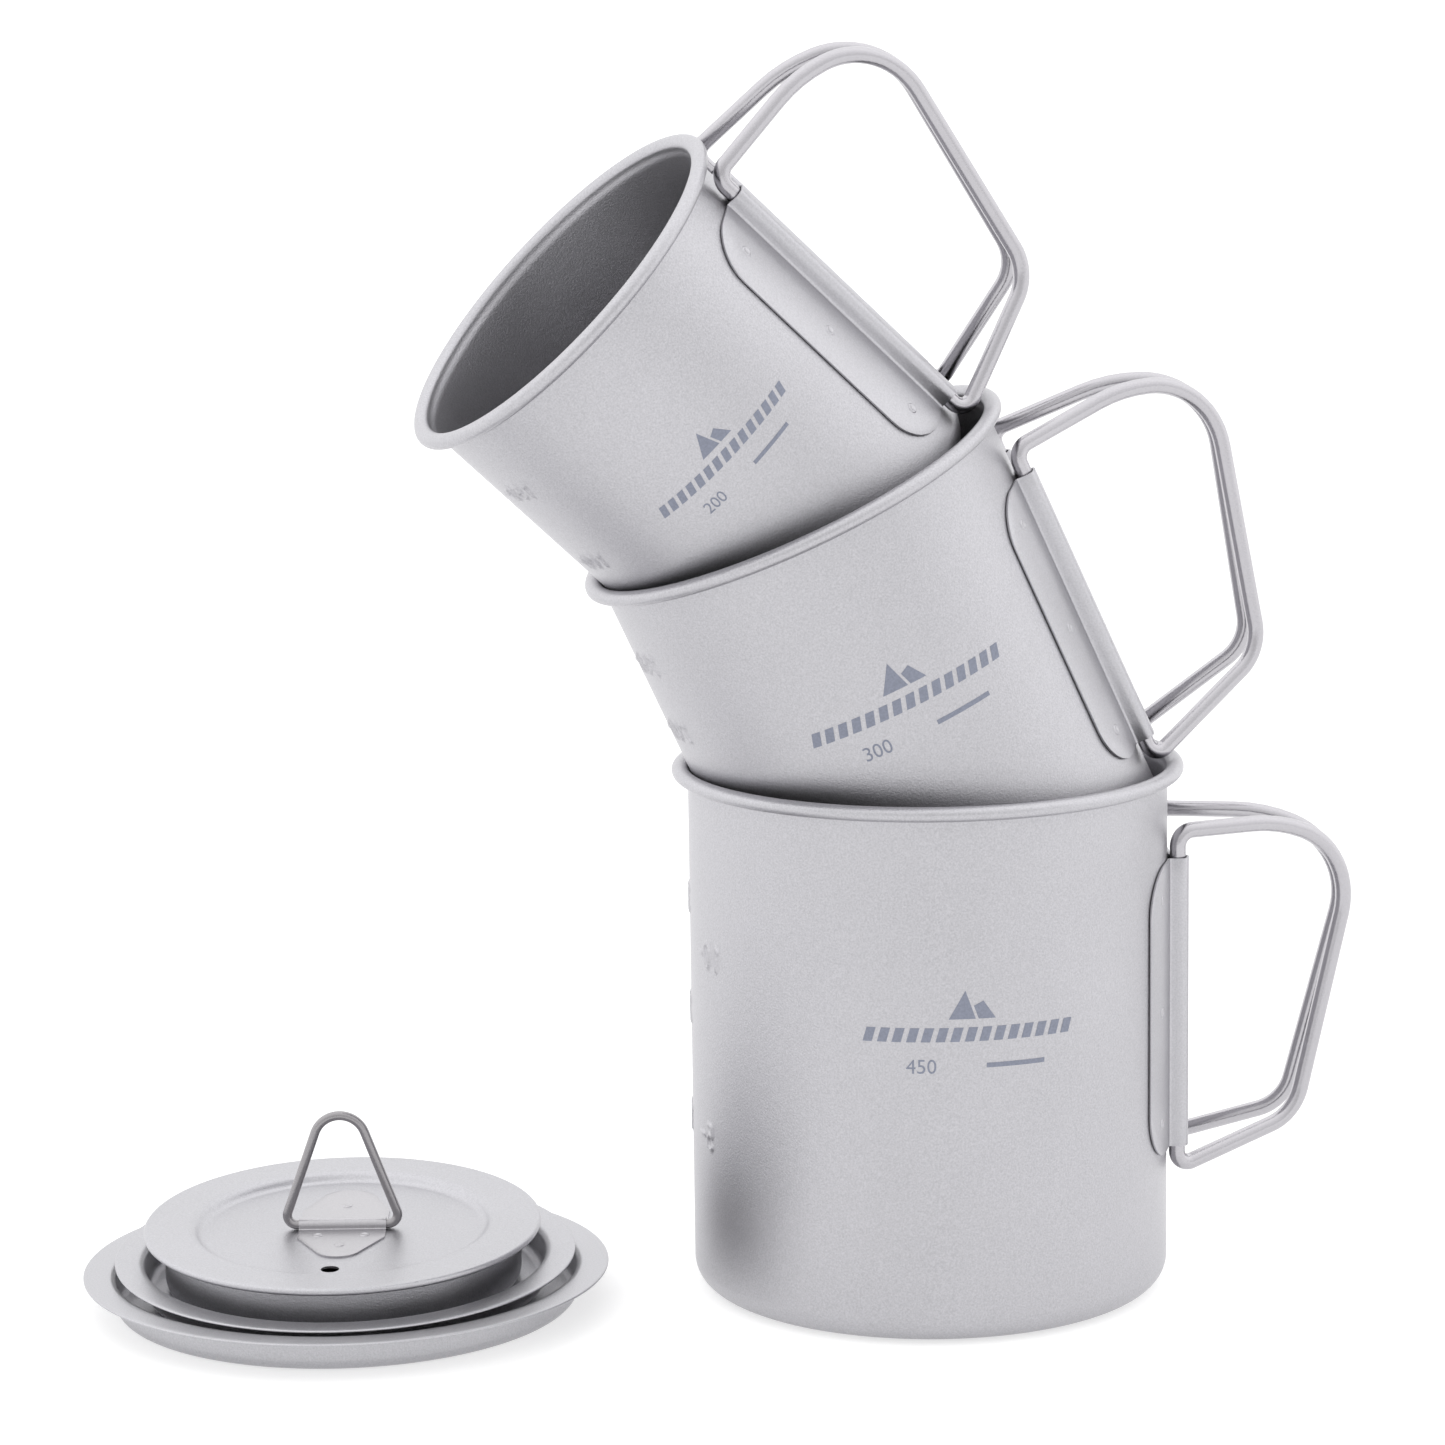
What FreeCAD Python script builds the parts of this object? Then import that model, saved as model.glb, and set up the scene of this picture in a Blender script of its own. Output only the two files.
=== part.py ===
import FreeCAD, Part
import math
import os

# Three titanium camping cups stacked one in another, each with two folding wire
# handle loops, beside their three nested lids. Millimetres, +Z up, +X to the
# handles, -Y to the front. The origin is the centre of the large cup's base.

V = FreeCAD.Vector
AXIS_X = V(1, 0, 0)
AXIS_Y = V(0, 1, 0)
AXIS_Z = V(0, 0, 1)

# --- driving dimensions ------------------------------------------------------
SHEET = 0.4                 # titanium sheet of the cups, lids and brackets
STRAP_SHEET = 0.3           # thinner sheet of the lid straps

# cup: wall radius outside, heights of the rim bead's centre and of the bracket's
# middle, reach of the handle from its hinge to the middle of the grip, and where
# it stands (lean to the left, nod to the front, turn about the cup's axis)
CUPS = {
    "large": {"wall": 41.0, "bead_z": 90.4, "bracket_z": 49.6, "grip": 31.8,
              "lean": 0.0, "nod": 0.0, "turn": 6.5, "base": V(0, 0, 0)},
    "medium": {"wall": 35.6, "bead_z": 78.2, "bracket_z": 40.8, "grip": 34.8,
               "lean": 24.0, "nod": 5.4, "turn": 6.8, "base": V(8.99, 2.47, 67.07)},
    "small": {"wall": 31.15, "bead_z": 66.0, "bracket_z": 33.1, "grip": 34.0,
              "lean": 45.1, "nod": 12.7, "turn": 2.4, "base": V(-15.14, -1.93, 128.55)},
}

BASE_CORNER = 4.4           # outer radius between base and wall
BEAD_STEP = 0.25            # the wall steps out this far under the rolled rim
FLARE_TURN = 15.0           # and leans out by this angle there
BEAD_SIDE = 0.92            # rolled rim: bend at its inner and outer side, middle of the sheet
BEAD_TOP = 1.39             # bend over its top and its underside
BEAD_CLOSE = 60.0           # how far the underside runs back to the wall

# handle: one wire loop each side, the same on every cup
WIRE_RADIUS = 1.4
WIRE_CLEARANCE = 0.1        # wire to channel
WIRE_TO_WALL = 0.4          # gap between the wire and the cup's wall
WIRE_END_GAP = 0.8          # the two ends of a loop stop this far apart
CHANNEL_ARC = 9.8           # along the wall, handle's middle to channel axis
FLANGE_ARC = 24.6           # along the wall, handle's middle to flange edge
BRACKET_HEIGHT = 50.7
FLANGE_CORNER = 8.0
CHANNEL_CORNER = 1.4        # outside corner of the channel's section
CHANNEL_FOOT = 0.5          # bend where the channel leaves the flange
GRIP_OFFSET = 1.65          # each wire's centre beside the handle's middle plane
# loop outline: corners (out, up), of which GRIP_CORNERS are measured out from the
# grip and LEG_CORNERS from the hinge, and the bend radii all the way round
LEG_CORNERS = [(0.0, 29.7), (0.0, -29.6)]
GRIP_CORNERS = [(-12.6, 29.7), (2.9, 23.4), (-8.9, -22.6)]
HANDLE_BENDS = [2.7, 26.0, 13.2, 8.5, 2.2]

# lids: outer radius, body radius, height from floor to flange top, place, nod
LID_PLACE = V(-101.0, -9.9, 0.0)
PANS = {
    "large": {"outer": 44.9, "body": 39.9, "height": 6.3, "shift": V(0, 0, 0.0), "nod": 0.0},
    "medium": {"outer": 39.3, "body": 34.7, "height": 6.0, "shift": V(-0.1, 0, 2.7), "nod": 2.6},
}
PAN_CORNER = 1.8            # between floor and wall, middle of the sheet
PAN_BEND = 1.1              # between wall and flange, middle of the sheet

PLUG_TOP_Z = 14.0           # top of the small lid's disc at its middle
PLUG_SHIFT = V(-0.5, 0, 0)
PLUG_NOD = 3.1
PLUG_OUTER = 34.1
PLUG_BODY = 30.6            # plug that enters the small cup
PLUG_DEPTH = 10.4           # disc top to the plug's lower edge
RECESS_RADIUS = 25.1        # middle of the ramp round the sunk centre
RECESS_DEPTH = 1.5
RECESS_RAMP = 3.2           # width of the ramp
HEM_RADIUS = 0.4            # the disc's edge folds round the skirt's flange
HEM_RETURN = 1.4
SKIRT_BEND = 0.8
SKIRT_CORNER = 1.8
SKIRT_LIP = 1.5

# lid ring and strap
RING_WIRE = 0.8             # radius
RING_CLEARANCE = 0.05
RING_CORNERS = [(10.2, 0.0), (0.0, 28.4), (-10.2, 0.0)]
RING_BENDS = [1.7, 4.5, 1.7]
RING_END_GAP = 0.6
STRAP_WIDTH = 15.0
# plates of a strap: end of the straight side from the tube's axis, corner of the
# tip before rounding, and its rounding. The small lid's rear plate is longer.
PLATE = (5.0, 19.1, 4.0)
LONG_PLATE = (8.5, 28.0, 5.0)
VENT_RADIUS = 1.55
VENT_PLACE = V(-0.7, -20.0, 0)

os.makedirs("parts", exist_ok=True)


# --- outlines ----------------------------------------------------------------
def unit(angle):
    return V(math.cos(math.radians(angle)), 0, math.sin(math.radians(angle)))


def trace(x, z, heading, moves):
    """Follow straight moves (length,) and arc moves (radius, left turn) in the XZ plane."""
    runs = []
    point = V(x, 0, z)
    for move in moves:
        if len(move) == 1:
            finish = point + unit(heading) * move[0]
            runs.append((point, finish, heading, heading, None, 0))
        else:
            radius, turn = move
            side = 1 if turn > 0 else -1
            centre = point + unit(heading + 90) * radius * side
            finish = centre - unit(heading + turn + 90) * radius * side
            runs.append((point, finish, heading, heading + turn, centre, radius * side))
        point = finish
        heading = runs[-1][3]
    return runs


def offset_edges(runs, offset):
    """One side of the sheet: each run moved left by the offset."""
    edges = []
    for start, finish, first, last, centre, radius in runs:
        begin = start + unit(first + 90) * offset
        end = finish + unit(last + 90) * offset
        if centre is None:
            edges.append(Part.LineSegment(begin, end).toShape())
        else:
            middle = centre - unit((first + last) / 2 + 90) * (radius - offset)
            edges.append(Part.Arc(begin, middle, end).toShape())
    return edges


def spun_sheet(x, z, heading, moves, thickness=SHEET):
    """Sheet metal spun about Z: its middle line is traced and thickened both ways."""
    runs = trace(x, z, heading, moves)
    left = offset_edges(runs, thickness / 2)
    right = offset_edges(runs, -thickness / 2)
    near_cap = Part.LineSegment(right[0].firstVertex().Point, left[0].firstVertex().Point)
    far_cap = Part.LineSegment(left[-1].lastVertex().Point, right[-1].lastVertex().Point)
    loop = [near_cap.toShape()] + left + [far_cap.toShape()] + right
    wire = Part.Wire(Part.__sortEdges__(loop))
    return Part.Face(wire).revolve(V(0, 0, 0), AXIS_Z, 360)


def rounded_edges(points, bends, closed):
    """Straight runs through the points, with an arc of each bend radius at its corner."""
    count = len(points)
    arcs = []
    for index in range(count):
        if bends[index] == 0:
            arcs.append((points[index], None, points[index]))
            continue
        here = points[index]
        back = (points[index - 1] - here).normalize()
        ahead = (points[(index + 1) % count] - here).normalize()
        half = back.getAngle(ahead) / 2
        reach = bends[index] / math.tan(half)
        bisector = (back + ahead).normalize()
        centre = here + bisector * (bends[index] / math.sin(half))
        arcs.append((here + back * reach, centre - bisector * bends[index], here + ahead * reach))
    edges = []
    for index in range(count):
        begin, middle, end = arcs[index]
        if middle is not None:
            edges.append(Part.Arc(begin, middle, end).toShape())
        if index < count - 1 or closed:
            edges.append(Part.LineSegment(end, arcs[(index + 1) % count][0]).toShape())
    return edges


def rounded_face(points, bends):
    return Part.Face(Part.Wire(rounded_edges(points, bends, True)))


def wire_loop(corners, bends, radius, gap):
    """Round wire bent through the corners, its two ends gap apart on the leg of the hinge."""
    first, last = corners[0], corners[-1]
    leg = (first - last).normalize()
    middle = last + leg * ((first - last).Length / 2)
    points = [middle + leg * (gap / 2)] + corners + [middle - leg * (gap / 2)]
    path = Part.Wire(rounded_edges(points, [0] + bends + [0], False))
    section = Part.Wire(Part.makeCircle(radius, points[0], leg))
    return path.makePipeShell([section], True, False)


def channel_bar(axis_height, inner_half, wall, floor, corner):
    """Section, in the YZ plane, of a channel over a wire whose axis is at axis_height."""
    half = inner_half + wall
    top = axis_height + half
    points = [V(0, -half, floor), V(0, -half, top), V(0, half, top), V(0, half, floor)]
    return rounded_face(points, [0, corner, corner, 0])


# --- cups --------------------------------------------------------------------
def cup_place(cup):
    """Handle turn about the cup's axis, nod to the front, lean to the left."""
    turn = FreeCAD.Rotation(AXIS_Z, cup["turn"])
    nod = FreeCAD.Rotation(AXIS_X, cup["nod"])
    lean = FreeCAD.Rotation(AXIS_Y, -cup["lean"])
    return FreeCAD.Placement(cup["base"], lean * nod * turn)


def cup_shell(cup):
    """Drawn cup: base, straight wall, and a rim rolled outward into a flattened bead."""
    corner = BASE_CORNER - SHEET / 2
    wall = cup["wall"] - SHEET / 2
    flare = BEAD_STEP / (2 * (1 - math.cos(math.radians(FLARE_TURN))))
    flare_height = 2 * flare * math.sin(math.radians(FLARE_TURN))
    straight = cup["bead_z"] - SHEET / 2 - corner - flare_height
    moves = [(wall - corner,), (corner, 90), (straight,), (flare, -FLARE_TURN),
             (flare, FLARE_TURN), (BEAD_SIDE, -45), (BEAD_TOP, -90), (BEAD_SIDE, -90),
             (BEAD_TOP, -BEAD_CLOSE)]
    return spun_sheet(0, SHEET / 2, 0, moves)


def sector(radius, thickness, half_angle, height):
    """Curved sheet centred on +X that lies against a cylinder of the given radius."""
    outer = Part.makeCylinder(radius + thickness, height, V(0, 0, -height / 2), AXIS_Z, 2 * half_angle)
    outer.rotate(V(0, 0, 0), AXIS_Z, -half_angle)
    return outer.cut(Part.makeCylinder(radius, height, V(0, 0, -height / 2)))


def flange_corner(wall, side, end):
    """What is cut from one corner of a flange to round it."""
    size = 2 * FLANGE_CORNER
    block = Part.makeBox(3 * SHEET + 2, size, size, V(-1, 0, 0))
    block = block.cut(Part.makeCylinder(FLANGE_CORNER, 3 * SHEET + 4, V(-2, 0, 0), AXIS_X))
    z = BRACKET_HEIGHT / 2 - FLANGE_CORNER
    block.translate(V(wall, 0, z))
    if side < 0:
        block = block.mirror(V(0, 0, 0), AXIS_Y)
    if end < 0:
        block = block.mirror(V(0, 0, 0), AXIS_Z)
    angle = math.degrees((FLANGE_ARC - FLANGE_CORNER) / (wall + SHEET / 2))
    block.rotate(V(0, 0, 0), AXIS_Z, side * angle)
    return block


def channel_angle(cup):
    return math.degrees(CHANNEL_ARC / (cup["wall"] + SHEET / 2))


def cup_bracket(cup):
    """One sheet on the wall: a flange with a folded channel at each side of the handle."""
    wall = cup["wall"]
    half_angle = math.degrees(FLANGE_ARC / (wall + SHEET / 2))
    plate = sector(wall, SHEET, half_angle, BRACKET_HEIGHT)
    axis_height = wall + WIRE_TO_WALL + WIRE_RADIUS
    inner = WIRE_RADIUS + WIRE_CLEARANCE
    lift = V(0, 0, BRACKET_HEIGHT)
    upright = FreeCAD.Rotation(AXIS_Y, 90)
    ridges = []
    hollows = []
    for side in (-1, 1):
        spin = FreeCAD.Rotation(AXIS_Z, side * channel_angle(cup))
        foot = FreeCAD.Placement(V(0, 0, -BRACKET_HEIGHT / 2), spin * upright)
        ridge = channel_bar(axis_height, inner, SHEET, wall - 1, CHANNEL_CORNER)
        hollow = channel_bar(axis_height, inner, 0, wall - 2, CHANNEL_CORNER - SHEET)
        for section, kept in ((ridge, ridges), (hollow, hollows)):
            section.Placement = foot
            kept.append(section.extrude(lift))
    bracket = plate.multiFuse(ridges).cut(Part.makeCylinder(wall, BRACKET_HEIGHT, V(0, 0, -BRACKET_HEIGHT / 2)))
    bracket = bracket.removeSplitter()
    feet = [edge for edge in bracket.Edges if is_channel_foot(edge, cup)]
    bracket = bracket.makeFillet(CHANNEL_FOOT, feet)
    corners = [flange_corner(wall, side, end) for side in (-1, 1) for end in (-1, 1)]
    bracket = bracket.cut(hollows + corners)
    bracket.translate(V(0, 0, cup["bracket_z"]))
    return bracket


def is_channel_foot(edge, cup):
    """Upright edge where a channel's side meets the outer face of the flange."""
    if abs(edge.Length - BRACKET_HEIGHT) > 0.01:
        return False
    middle = edge.CenterOfMass
    radius = math.hypot(middle.x, middle.y)
    away = abs(abs(math.degrees(math.atan2(middle.y, middle.x))) - channel_angle(cup))
    return abs(radius - cup["wall"] - SHEET) < 0.05 and math.radians(away) * radius < 3.0


def cup_wire(cup, side):
    """Handle loop hinged in the channel at one side, swung in to the handle's middle."""
    top, bottom = [V(x, 0, z) for x, z in LEG_CORNERS]
    outer = [V(cup["grip"] + x, 0, z) for x, z in GRIP_CORNERS]
    loop = wire_loop([top] + outer + [bottom], HANDLE_BENDS, WIRE_RADIUS, WIRE_END_GAP)
    angle = math.radians(channel_angle(cup))
    reach = cup["wall"] + WIRE_TO_WALL + WIRE_RADIUS
    pivot = V(reach * math.cos(angle), side * reach * math.sin(angle), cup["bracket_z"])
    swing = math.degrees(math.asin((abs(pivot.y) - GRIP_OFFSET) / cup["grip"]))
    loop.rotate(V(0, 0, 0), AXIS_Z, -side * swing)
    loop.translate(pivot)
    return loop


# --- lids --------------------------------------------------------------------
def lid_place(shift, nod):
    return FreeCAD.Placement(LID_PLACE + shift, FreeCAD.Rotation(AXIS_X, nod))


def vent_hole():
    return Part.makeCylinder(VENT_RADIUS, 4, VENT_PLACE - V(0, 0, 2))


def lid_pan(lid):
    """Drawn pan: floor, wall and a flat flange that rests on the cup's rim."""
    wall = lid["body"] - SHEET / 2
    rise = lid["height"] - SHEET - PAN_CORNER - PAN_BEND
    moves = [(wall - PAN_CORNER,), (PAN_CORNER, 90), (rise,), (PAN_BEND, -90),
             (lid["outer"] - wall - PAN_BEND,)]
    pan = spun_sheet(0, SHEET / 2, 0, moves)
    return pan.cut(vent_hole())


def plug_disc():
    """Top of the small lid: sunk centre, flat border, edge hemmed under."""
    half_turn = 2 * math.atan2(RECESS_DEPTH, RECESS_RAMP)
    ramp = RECESS_RAMP / (2 * math.sin(half_turn))
    turn = math.degrees(half_turn)
    border = RECESS_RADIUS + RECESS_RAMP / 2
    edge = PLUG_OUTER - SHEET / 2 - HEM_RADIUS
    moves = [(RECESS_RADIUS - RECESS_RAMP / 2,), (ramp, turn), (ramp, -turn),
             (edge - border,), (HEM_RADIUS, -180), (HEM_RETURN,)]
    disc = spun_sheet(0, -RECESS_DEPTH - SHEET / 2, 0, moves)
    vent = vent_hole()
    vent.translate(V(0, 0, -RECESS_DEPTH))
    return disc.cut(vent)


def plug_skirt():
    """Drawn ring under the disc: flange held in the hem, wall, and a lip turned inward."""
    wall = PLUG_BODY - SHEET / 2
    edge = PLUG_OUTER - SHEET / 2 - HEM_RADIUS
    drop = PLUG_DEPTH - SHEET - SHEET - SKIRT_BEND - SKIRT_CORNER
    moves = [(edge - wall - SKIRT_BEND,), (SKIRT_BEND, 90), (drop,), (SKIRT_CORNER, -90), (SKIRT_LIP,)]
    return spun_sheet(edge, -1.5 * SHEET, 180, moves)


def lid_strap(rear_plate):
    """Strap over the ring's wire: a pointed plate each side of a folded tube. Floor at z = 0."""
    half = STRAP_WIDTH / 2
    shoulder, tip, tip_round = PLATE
    rear_shoulder, rear_tip, rear_round = rear_plate
    outline = [V(half, rear_shoulder, 0), V(0, rear_tip, 0), V(-half, rear_shoulder, 0),
               V(-half, -shoulder, 0), V(0, -tip, 0), V(half, -shoulder, 0)]
    plate = rounded_face(outline, [0, rear_round, 0, 0, tip_round, 0]).extrude(V(0, 0, STRAP_SHEET))
    inner = RING_WIRE + RING_CLEARANCE
    length = V(STRAP_WIDTH, 0, 0)
    ridge = channel_bar(inner, inner, STRAP_SHEET, 0, inner).extrude(length)
    hollow = channel_bar(inner, inner, 0, -1, inner - 0.01).extrude(length)
    for bar in (ridge, hollow):
        bar.translate(V(-half, 0, 0))
    return plate.fuse(ridge).removeSplitter().cut(hollow)


def lid_ring(fold):
    """Triangular wire ring hinged in the strap, folded back by the angle from upright."""
    corners = [V(x, 0, z) for x, z in RING_CORNERS]
    ring = wire_loop(corners, RING_BENDS, RING_WIRE, RING_END_GAP)
    ring.rotate(V(0, 0, 0), AXIS_X, -fold)
    ring.translate(V(0, 0, RING_WIRE + RING_CLEARANCE))
    return ring


# --- assembly ----------------------------------------------------------------
def save(name, shape, place):
    shape.Placement = place.multiply(shape.Placement)
    if not shape.isValid():
        raise ValueError(name + " is not a valid solid")
    solids = shape.Solids
    if len(solids) != 1:
        raise ValueError(name + " has " + str(len(solids)) + " solids")
    solids[0].exportStep("parts/" + name + ".step")
    print(name, round(solids[0].Volume, 1))


for size, cup in CUPS.items():
    place = cup_place(cup)
    save(size + "_cup_shell", cup_shell(cup), place)
    save(size + "_cup_bracket", cup_bracket(cup), place)
    save(size + "_cup_front_wire", cup_wire(cup, -1), place)
    save(size + "_cup_rear_wire", cup_wire(cup, 1), place)

for size, lid in PANS.items():
    place = lid_place(lid["shift"], lid["nod"])
    on_floor = place * FreeCAD.Placement(V(0, 0, SHEET), FreeCAD.Rotation())
    save(size + "_lid_pan", lid_pan(lid), place)
    save(size + "_lid_strap", lid_strap(PLATE), on_floor)
    save(size + "_lid_ring", lid_ring(90), on_floor)

place = lid_place(PLUG_SHIFT + V(0, 0, PLUG_TOP_Z), PLUG_NOD)
on_disc = place * FreeCAD.Placement(V(0, 0, -RECESS_DEPTH), FreeCAD.Rotation())
save("small_lid_disc", plug_disc(), place)
save("small_lid_skirt", plug_skirt(), place)
save("small_lid_strap", lid_strap(LONG_PLATE), on_disc)
save("small_lid_ring", lid_ring(0), on_disc)
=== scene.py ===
"""Looks of a titanium camping cup set: three nested cups with folding wire
handles beside their three nested lids. Shapes are worked out in millimetres
in each piece's own frame and placed in the row frame, in metres."""

import math

import bmesh
import bpy
import numpy as np
from mathutils import Matrix, Vector


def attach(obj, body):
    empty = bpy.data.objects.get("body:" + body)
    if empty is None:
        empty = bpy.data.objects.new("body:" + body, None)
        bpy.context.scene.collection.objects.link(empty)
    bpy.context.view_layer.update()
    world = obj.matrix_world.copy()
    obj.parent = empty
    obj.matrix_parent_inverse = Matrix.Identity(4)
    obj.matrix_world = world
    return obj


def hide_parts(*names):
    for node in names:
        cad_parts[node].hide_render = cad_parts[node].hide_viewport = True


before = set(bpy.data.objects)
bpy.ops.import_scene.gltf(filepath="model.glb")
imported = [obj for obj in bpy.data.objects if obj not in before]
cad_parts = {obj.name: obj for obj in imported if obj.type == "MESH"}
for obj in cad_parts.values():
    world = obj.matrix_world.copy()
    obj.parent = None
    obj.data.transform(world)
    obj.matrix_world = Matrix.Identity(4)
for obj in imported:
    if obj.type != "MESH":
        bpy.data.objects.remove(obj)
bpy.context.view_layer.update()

MM = 0.001

# --- driving dimensions, the same as the CAD model's -------------------------
SHEET = 0.4
STRAP_SHEET = 0.3
CUPS = {
    "large": {"wall": 41.0, "bead_z": 90.4, "bracket_z": 49.6, "grip": 31.8,
              "lean": 0.0, "nod": 0.0, "turn": 6.5, "base": (0.0, 0.0, 0.0)},
    "medium": {"wall": 35.6, "bead_z": 78.2, "bracket_z": 40.8, "grip": 34.8,
               "lean": 24.0, "nod": 5.4, "turn": 6.8, "base": (8.99, 2.47, 67.07)},
    "small": {"wall": 31.15, "bead_z": 66.0, "bracket_z": 33.1, "grip": 34.0,
              "lean": 45.1, "nod": 12.7, "turn": 2.4, "base": (-15.14, -1.93, 128.55)},
}
BASE_CORNER = 4.4
BEAD_STEP = 0.25
FLARE_TURN = 15.0
BEAD_SIDE = 0.92
BEAD_TOP = 1.39
BEAD_CLOSE = 60.0

WIRE_RADIUS = 1.4
WIRE_CLEARANCE = 0.1
WIRE_TO_WALL = 0.4
WIRE_END_GAP = 0.8
CHANNEL_ARC = 9.8
FLANGE_ARC = 24.6
BRACKET_HEIGHT = 50.7
FLANGE_CORNER = 8.0
CHANNEL_CORNER = 1.4
CHANNEL_FOOT = 0.5
GRIP_OFFSET = 1.65
LEG_CORNERS = [(0.0, 29.7), (0.0, -29.6)]
GRIP_CORNERS = [(-12.6, 29.7), (2.9, 23.4), (-8.9, -22.6)]
HANDLE_BENDS = [2.7, 26.0, 13.2, 8.5, 2.2]

LID_PLACE = (-101.0, -9.9, 0.0)
PANS = {
    "large": {"outer": 44.9, "body": 39.9, "height": 6.3, "shift": (0, 0, 0), "nod": 0.0},
    "medium": {"outer": 39.3, "body": 34.7, "height": 6.0, "shift": (-0.1, 0, 2.7), "nod": 2.6},
}
PAN_CORNER = 1.8
PAN_BEND = 1.1
PLUG_PLACE = (-0.5, 0.0, 14.0)
PLUG_NOD = 3.1
PLUG_OUTER = 34.1
PLUG_BODY = 30.6
PLUG_DEPTH = 10.4
RECESS_RADIUS = 25.1
RECESS_DEPTH = 1.5
RECESS_RAMP = 3.2
HEM_RADIUS = 0.4
HEM_RETURN = 1.4
SKIRT_BEND = 0.8
SKIRT_CORNER = 1.8
SKIRT_LIP = 1.5

RING_WIRE = 0.8
RING_CLEARANCE = 0.05
RING_CORNERS = [(10.2, 0.0), (0.0, 28.4), (-10.2, 0.0)]
RING_BENDS = [1.7, 4.5, 1.7]
RING_END_GAP = 0.6
STRAP_WIDTH = 15.0
PLATE = (5.0, 19.1, 4.0)         # strap plate: shoulder, tip corner, tip rounding
LONG_PLATE = (8.5, 28.0, 5.0)    # rear plate of the small lid's strap
STRAP_FOOT = 0.35
VENT_RADIUS = 1.55
VENT_PLACE = (-0.7, -20.0)

# --- what only the looks have ------------------------------------------------
AROUND = 192                # steps round a spun piece
EDGE_BEVEL = 0.07           # broken edge of a cut sheet
FLANGE_GAP = 0.12           # between the bracket's flange and the wall, seen as a dark seam
WELD_RADIUS = 0.95
# spot weld's section: share of its radius, and height over the sheet
WELD_SECTION = [(1.0, -0.04), (0.93, 0.05), (0.8, 0.15), (0.66, 0.16), (0.5, 0.08), (0.25, 0.03),
                (0.0, 0.02)]
FLANGE_WELD_ARC = 18.8      # spot welds, along the wall from the handle's middle
FLANGE_WELD_HEIGHTS = (-19.5, 0.0, 19.5)
PLATE_WELDS = [(-4.0, 4.0), (4.0, 4.0), (0.0, 8.9)]
LONG_PLATE_WELDS = [(-4.0, 4.0), (4.0, 4.0), (0.0, 11.0)]
RELIEF_HEIGHT = 0.28        # graduations pressed outward through the wall
RELIEF_WIDTH = 0.62         # from a stroke's middle line to the plain wall
RELIEF_STEP = 0.31          # mesh step where the wall carries graduations
PRINT_LIFT = 0.03           # ink stands this proud of the wall
PRINT_AZIMUTH = -89.0
# per cup: scale of the print, height of its middle line, and the number under it
PRINTS = {"large": (1.0, 53.2, "450"), "medium": (1.0, 46.6, "300"), "small": (0.83, 35.6, "200")}
PEAKS = [[(-3.9, 2.6), (0.6, 2.6), (-1.1, 7.4)], [(1.1, 2.6), (4.0, 2.6), (1.9, 5.6), (0.3, 4.8)]]
BARS = 15
BAR_PITCH = 2.42
BAR_START = (-18.2, -1.2)
BAR_SIZE = (1.55, 2.4, 0.7)      # width, height and slant
NUMBER_PLACE = (-11.0, -6.5)
NUMBER_HEIGHT = 2.4
SHORT_BAR = (2.4, -5.75, 10.2, 0.8, 0.0)
# per metal: colour, roughness, depth of the grain, and strength of the speckle
METALS = {
    "cup": ((0.462, 0.457, 0.480), 0.41, 1.0, 0.11),
    "bracket": ((0.470, 0.465, 0.488), 0.38, 0.7, 0.08),
    "wire": ((0.45, 0.44, 0.463), 0.23, 0.3, 0.04),
    "lid": ((0.455, 0.452, 0.474), 0.38, 1.0, 0.09),
    "strap": ((0.445, 0.437, 0.455), 0.33, 0.6, 0.06),
    "ring": ((0.30, 0.29, 0.30), 0.28, 0.3, 0.04),
}
GRAIN_SIZE = 0.30           # blasted grain
GRAIN_DEPTH = 0.05
BLOTCH = 0.03               # slow change of tone, up and down
BLOTCHES = 38.0             # per metre
ROUGHNESS_SPREAD = 0.03
INK = (0.19, 0.205, 0.26)
INK_SPREAD = 0.1
INK_SPECKS = 2600.0         # per metre

# --- studio ------------------------------------------------------------------
FLOOR_REACH = 30.0                      # metres
FLOOR_DROP = 0.0002
FLOOR_GREY = (0.50, 0.50, 0.50, 1)
FLOOR_GLOW = 0.58
LIGHT_FROM_FRONT = 0.90                 # strength of the light in front of and behind the set
LIGHT_FROM_BACK = 1.28
LIGHT_FROM_ABOVE = 0.38                 # added by height, and towards either side
LIGHT_FROM_SIDES = 0.30
CAMERA_PLACE = (-34.9, -792.2, 245.1)
CAMERA_LENS = 117.46
CAMERA_DIP = 0.1832                     # radians below level
CAMERA_ROLL = -0.0147


# --- outlines ----------------------------------------------------------------
def trace(x, z, heading, moves):
    """Points and headings along straight moves (length, steps) and arc moves (radius, turn, steps)."""
    points = [(x, z)]
    headings = [heading]
    for move in moves:
        x, z = points[-1]
        first = math.radians(headings[-1])
        steps = move[-1] if isinstance(move[-1], (list, tuple)) else None
        if steps is None:
            steps = [(i + 1) / move[-1] for i in range(move[-1])]
        if len(move) == 2:
            for share in steps:
                reach = move[0] * share
                points.append((x + reach * math.cos(first), z + reach * math.sin(first)))
                headings.append(headings[-1])
        else:
            radius, turn, _ = move
            side = math.copysign(1.0, turn)
            centre = (x - side * radius * math.sin(first), z + side * radius * math.cos(first))
            start = headings[-1]
            for share in steps:
                now = start + turn * share
                angle = math.radians(now)
                points.append((centre[0] + side * radius * math.sin(angle),
                               centre[1] - side * radius * math.cos(angle)))
                headings.append(now)
    return np.array(points), np.array(headings)


def offset(points, headings, distance):
    """The line moved to its left side, or to its right side by a negative distance."""
    angle = np.radians(headings + 90)
    return points + distance * np.column_stack([np.cos(angle), np.sin(angle)])


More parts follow.
